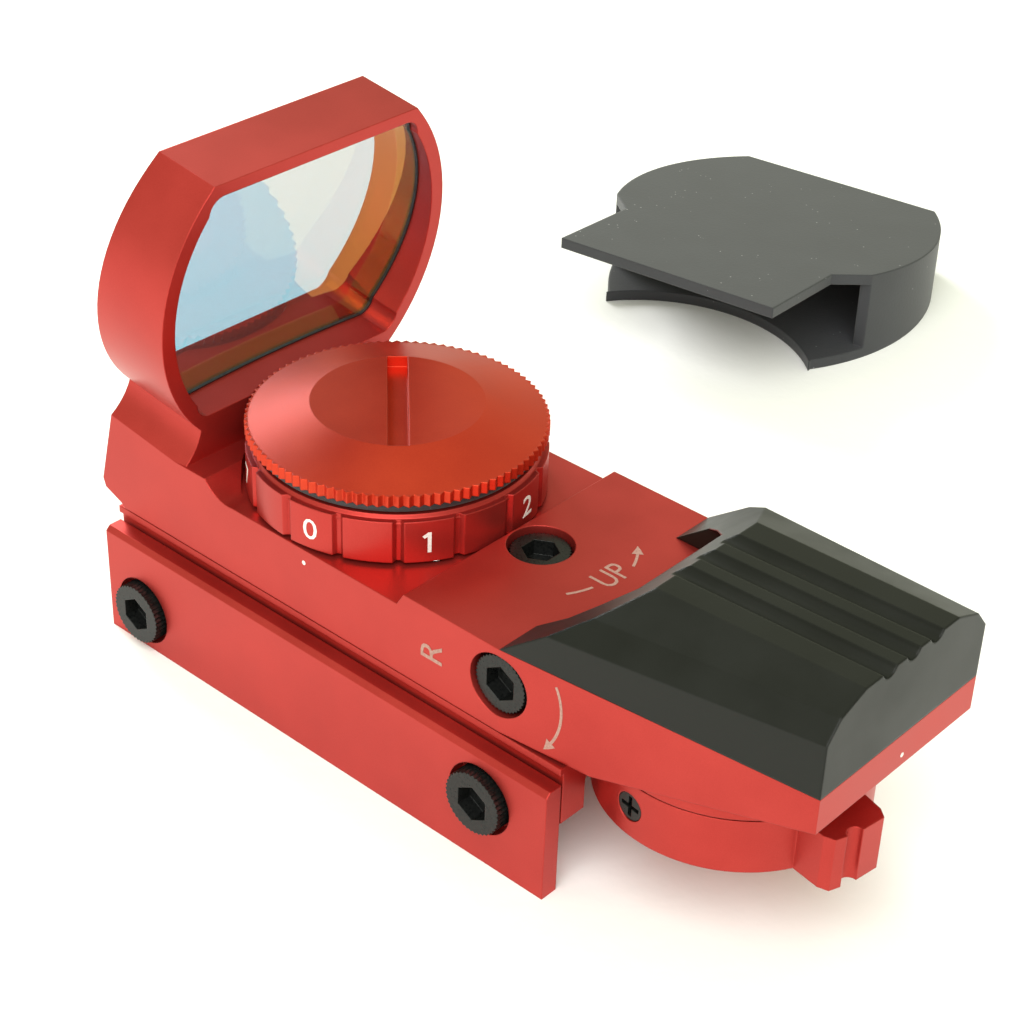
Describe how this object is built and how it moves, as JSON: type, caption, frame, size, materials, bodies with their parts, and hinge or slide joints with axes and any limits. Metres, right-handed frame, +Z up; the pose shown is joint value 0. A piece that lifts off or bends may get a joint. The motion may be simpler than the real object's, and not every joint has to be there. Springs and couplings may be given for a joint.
{
  "type": "red dot finder",
  "caption": "Open reflex sight with a coated lens in a leaning hood, a numbered dimmer dial with battery cap, a reticle selector and a rail clamp.",
  "frame": {"origin": "centre of the rail seat on the underside of the base", "axes": "+Y along the line of sight towards the target, +X to the user's right, +Z up"},
  "size_m": [0.125, 0.0966, 0.0516],
  "materials": {
    "red_anodised": "bright anodised",
    "black_plastic": "fine matte",
    "steel": "turned",
    "black_screw": "black oxide",
    "spring_steel": "drawn wire",
    "lens_glass": "coated",
    "sealant": "matte",
    "rubber": "matte",
    "brass": "machined",
    "clear_window": "clear",
    "mirror": "polished",
    "circuit_board": "solder mask",
    "led_red": "clear red",
    "battery_can": "nickel plated"
  },
  "bodies": {
    "base": {"rail_base": "red_anodised", "clamp_nuts": "black_screw"},
    "clamp_jaw": {"clamp_plate": "red_anodised"},
    "front_clamp_screw": {"clamp_screw_front": "black_screw"},
    "rear_clamp_screw": {"clamp_screw_rear": "black_screw"},
    "swivel": {"swivel_plate": "steel", "swivel_screw": "steel", "elevation_spring": "spring_steel"},
    "housing": {"housing": "red_anodised", "pivot_pin": "steel", "lens": "lens_glass", "lens_seal": "sealant", "rear_cover": "black_plastic", "cover_screws": "steel", "emitter_window": "clear_window", "mirror_bracket": "black_plastic", "mirror": "mirror", "led": "led_red", "led_board": "circuit_board", "dimmer_board": "circuit_board", "dial_detent_ball": "steel", "dial_detent_spring": "spring_steel", "selector_detent_ball": "steel", "selector_detent_spring": "spring_steel"},
    "elevation": {"elevation_screw": "black_screw", "elevation_clip": "spring_steel"},
    "windage": {"windage_screw": "black_screw", "windage_clip": "spring_steel"},
    "windage_slider": {"windage_nut": "brass"},
    "dial": {"dial_ring": "red_anodised", "dial_screw": "steel", "battery": "battery_can", "battery_contact": "spring_steel", "dimmer_wiper": "spring_steel"},
    "cap_ring": {"cap_oring": "rubber"},
    "cap": {"battery_cap": "red_anodised"},
    "selector": {"selector_disc": "red_anodised", "selector_spindle": "steel", "reticle_disc": "steel", "selector_screw": "steel"},
    "loose_lens_cover": {"lens_cover": "rubber"}
  },
  "joints": [
    {"name": "clamp_screw_turn_front", "type": "hinge", "parent": "clamp_jaw", "child": "front_clamp_screw", "pos_m": [-0.015, 0.0234, -0.0006], "axis": [-1, 0, 0], "range_deg": [0, 1441]},
    {"name": "clamp_jaw_slide", "type": "slide", "parent": "base", "child": "clamp_jaw", "axis": [-1, 0, 0], "range_m": [0, 0.002]},
    {"name": "clamp_screw_turn_rear", "type": "hinge", "parent": "clamp_jaw", "child": "rear_clamp_screw", "pos_m": [-0.015, -0.02055, 0.00206], "axis": [-1, 0, 0], "range_deg": [0, 1441]},
    {"name": "windage_yaw", "type": "hinge", "parent": "base", "child": "swivel", "pos_m": [0, 0.0165, 0.007], "axis": [0, 0, 1], "range_deg": [-0.8, 0.8]},
    {"name": "windage_screw_turn", "type": "hinge", "parent": "housing", "child": "windage", "pos_m": [-0.012, -0.0209, 0.0135], "axis": [1, 0, 0], "range_deg": [-380, 380]},
    {"name": "elevation_tilt", "type": "hinge", "parent": "swivel", "child": "housing", "pos_m": [0, 0.0225, 0.012], "axis": [-1, 0, 0], "range_deg": [-0.25, 1]},
    {"name": "elevation_screw_turn", "type": "hinge", "parent": "housing", "child": "elevation", "pos_m": [0, -0.0133, 0.015], "axis": [0, 0, 1], "range_deg": [-115, 452]},
    {"name": "windage_nut_lift", "type": "slide", "parent": "base", "child": "windage_slider", "axis": [0, 0, 1], "range_m": [-0.0002, 0.0008]},
    {"name": "dial_turn", "type": "hinge", "parent": "housing", "child": "dial", "pos_m": [0, 0.0042, 0.018], "axis": [0, 0, -1], "range_deg": [0, 315]},
    {"name": "cap_lift", "type": "slide", "parent": "dial", "child": "cap_ring", "axis": [0, 0, 1], "range_m": [0, 0.002]},
    {"name": "cap_turn", "type": "hinge", "parent": "cap_ring", "child": "cap", "pos_m": [0, 0.0042, 0.022], "axis": [0, 0, 1], "range_deg": [0, 720]},
    {"name": "reticle_turn", "type": "hinge", "parent": "housing", "child": "selector", "pos_m": [0, -0.0356, 0.007], "axis": [0, 0, 1], "range_deg": [-26, 52]},
    {"name": "lens_cover_lift_off", "type": "slide", "parent": "base", "child": "loose_lens_cover", "axis": [1, 0, 0], "range_m": [0, 0.03]}
  ],
  "couplings": [
    {"joint": "clamp_screw_turn_front", "follows": "clamp_jaw_slide", "rad_per_m": 12566},
    {"joint": "clamp_screw_turn_rear", "follows": "clamp_jaw_slide", "rad_per_m": 12566},
    {"joint": "windage_screw_turn", "follows": "windage_yaw", "ratio": 469.98},
    {"joint": "elevation_screw_turn", "follows": "elevation_tilt", "ratio": 449.88},
    {"joint": "windage_nut_lift", "follows": "elevation_tilt", "m_per_rad": 0.0434},
    {"joint": "cap_lift", "follows": "cap_turn", "m_per_rad": 0.00015915}
  ]
}
